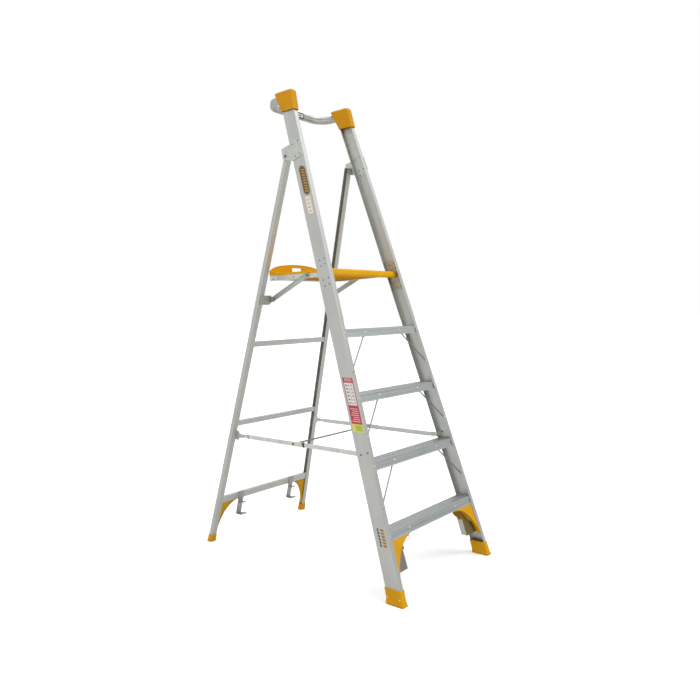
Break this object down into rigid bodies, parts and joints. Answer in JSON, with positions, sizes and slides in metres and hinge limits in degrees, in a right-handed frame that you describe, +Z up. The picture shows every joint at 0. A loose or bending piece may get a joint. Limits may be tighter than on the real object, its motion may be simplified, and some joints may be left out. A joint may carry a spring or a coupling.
{
  "type": "platform step ladder",
  "caption": "Folding aluminium platform ladder with a guardrail, ribbed steps, hinged yellow platform, folding spreaders and moulded feet.",
  "frame": {"origin": "floor level at the centre of the open ladder's footprint", "axes": "+Z up; -Y is the climbing side, with the steps; +X across, to the climber's right"},
  "size_m": [0.805, 1.3778, 2.421],
  "materials": {
    "stile_aluminium": "mill-finished extrusion, satin",
    "tread_aluminium": "ribbed extrusion, satin",
    "zinc_steel": "zinc plated, matt",
    "fastener_steel": "plated, satin",
    "yellow_plastic": "fine grained moulding",
    "black_plastic": "matt",
    "label_film": "printed film, plain colour fields"
  },
  "bodies": {
    "front_frame": {"front_stile_left": "stile_aluminium", "front_stile_right": "stile_aluminium", "step_1": "tread_aluminium", "step_2": "tread_aluminium", "step_3": "tread_aluminium", "step_4": "tread_aluminium", "brace_rods": "zinc_steel", "brace_bolts": "fastener_steel", "step_rivets": "fastener_steel", "step_gusset_left": "yellow_plastic", "step_gusset_right": "yellow_plastic", "latch_plates": "zinc_steel", "front_foot_left": "yellow_plastic", "front_foot_right": "yellow_plastic", "guardrail": "stile_aluminium", "head_cap_left": "yellow_plastic", "head_cap_right": "yellow_plastic", "guardrail_bolts": "fastener_steel", "hinge_plate_left": "zinc_steel", "hinge_plate_right": "zinc_steel", "head_channels": "zinc_steel", "hinge_bolts": "fastener_steel", "platform_bracket_left": "zinc_steel", "platform_bracket_right": "zinc_steel", "spreader_brackets_front": "zinc_steel", "pivot_pins_front": "fastener_steel", "plate_rivets": "fastener_steel", "label_upper": "label_film", "label_middle": "label_film", "label_lower": "label_film"},
    "rear_frame": {"rear_stile_left": "stile_aluminium", "rear_stile_right": "stile_aluminium", "rear_rung_top": "stile_aluminium", "rear_rung_middle": "stile_aluminium", "rear_rung_bottom": "stile_aluminium", "rear_gusset_left": "yellow_plastic", "rear_gusset_right": "yellow_plastic", "rear_foot_left": "yellow_plastic", "rear_foot_right": "yellow_plastic", "latch_hook_left": "zinc_steel", "latch_hook_right": "zinc_steel", "strut_bracket_left": "zinc_steel", "strut_bracket_right": "zinc_steel", "spreader_brackets_rear": "zinc_steel", "pivot_pins_rear": "fastener_steel", "rear_rivets": "fastener_steel"},
    "platform": {"platform_deck": "yellow_plastic", "platform_rail_left": "stile_aluminium", "platform_rail_right": "stile_aluminium", "platform_cross_rail": "stile_aluminium", "platform_rivets": "fastener_steel"},
    "strut_left": {"platform_strut_left": "stile_aluminium"},
    "strut_right": {"platform_strut_right": "stile_aluminium"},
    "spreader_front": {"spreader_front_left": "stile_aluminium", "spreader_front_right": "stile_aluminium", "spreader_cross_rod": "zinc_steel", "spreader_buffers": "black_plastic"},
    "spreader_rear_left": {"spreader_rear_left": "stile_aluminium"},
    "spreader_rear_right": {"spreader_rear_right": "stile_aluminium"}
  },
  "joints": [
    {"name": "rear_frame_fold", "type": "hinge", "parent": "front_frame", "child": "rear_frame", "pos_m": [0, 0.1085, 2.083], "axis": [-1, 0, 0], "range_deg": [0, 29]},
    {"name": "platform_tilt", "type": "hinge", "parent": "front_frame", "child": "platform", "pos_m": [0, -0.176, 1.482], "axis": [1, 0, 0], "range_deg": [0, 60]},
    {"name": "strut_left_swing", "type": "hinge", "parent": "rear_frame", "child": "strut_left", "pos_m": [-0.211, 0.277, 1.361], "axis": [-1, 0, 0], "range_deg": [0, 40.2]},
    {"name": "strut_right_swing", "type": "hinge", "parent": "rear_frame", "child": "strut_right", "pos_m": [0.211, 0.277, 1.361], "axis": [-1, 0, 0], "range_deg": [0, 40.2]},
    {"name": "spreader_front_fold", "type": "hinge", "parent": "front_frame", "child": "spreader_front", "pos_m": [0, -0.385, 0.622], "axis": [1, 0, 0], "range_deg": [0, 63.4]},
    {"name": "spreader_rear_left_fold", "type": "hinge", "parent": "rear_frame", "child": "spreader_rear_left", "pos_m": [-0.3105, 0.438, 0.619], "axis": [-1, 0, 0], "range_deg": [0, 79.3]},
    {"name": "spreader_rear_right_fold", "type": "hinge", "parent": "rear_frame", "child": "spreader_rear_right", "pos_m": [0.3105, 0.438, 0.619], "axis": [-1, 0, 0], "range_deg": [0, 79.3]}
  ],
  "couplings": [
    {"joint": "platform_tilt", "follows": "rear_frame_fold", "ratio": 2.0685},
    {"joint": "strut_left_swing", "follows": "rear_frame_fold", "ratio": 1.3857},
    {"joint": "strut_right_swing", "follows": "rear_frame_fold", "ratio": 1.3857},
    {"joint": "spreader_front_fold", "follows": "rear_frame_fold", "ratio": 2.1857},
    {"joint": "spreader_rear_left_fold", "follows": "rear_frame_fold", "ratio": 2.734},
    {"joint": "spreader_rear_right_fold", "follows": "rear_frame_fold", "ratio": 2.734}
  ]
}
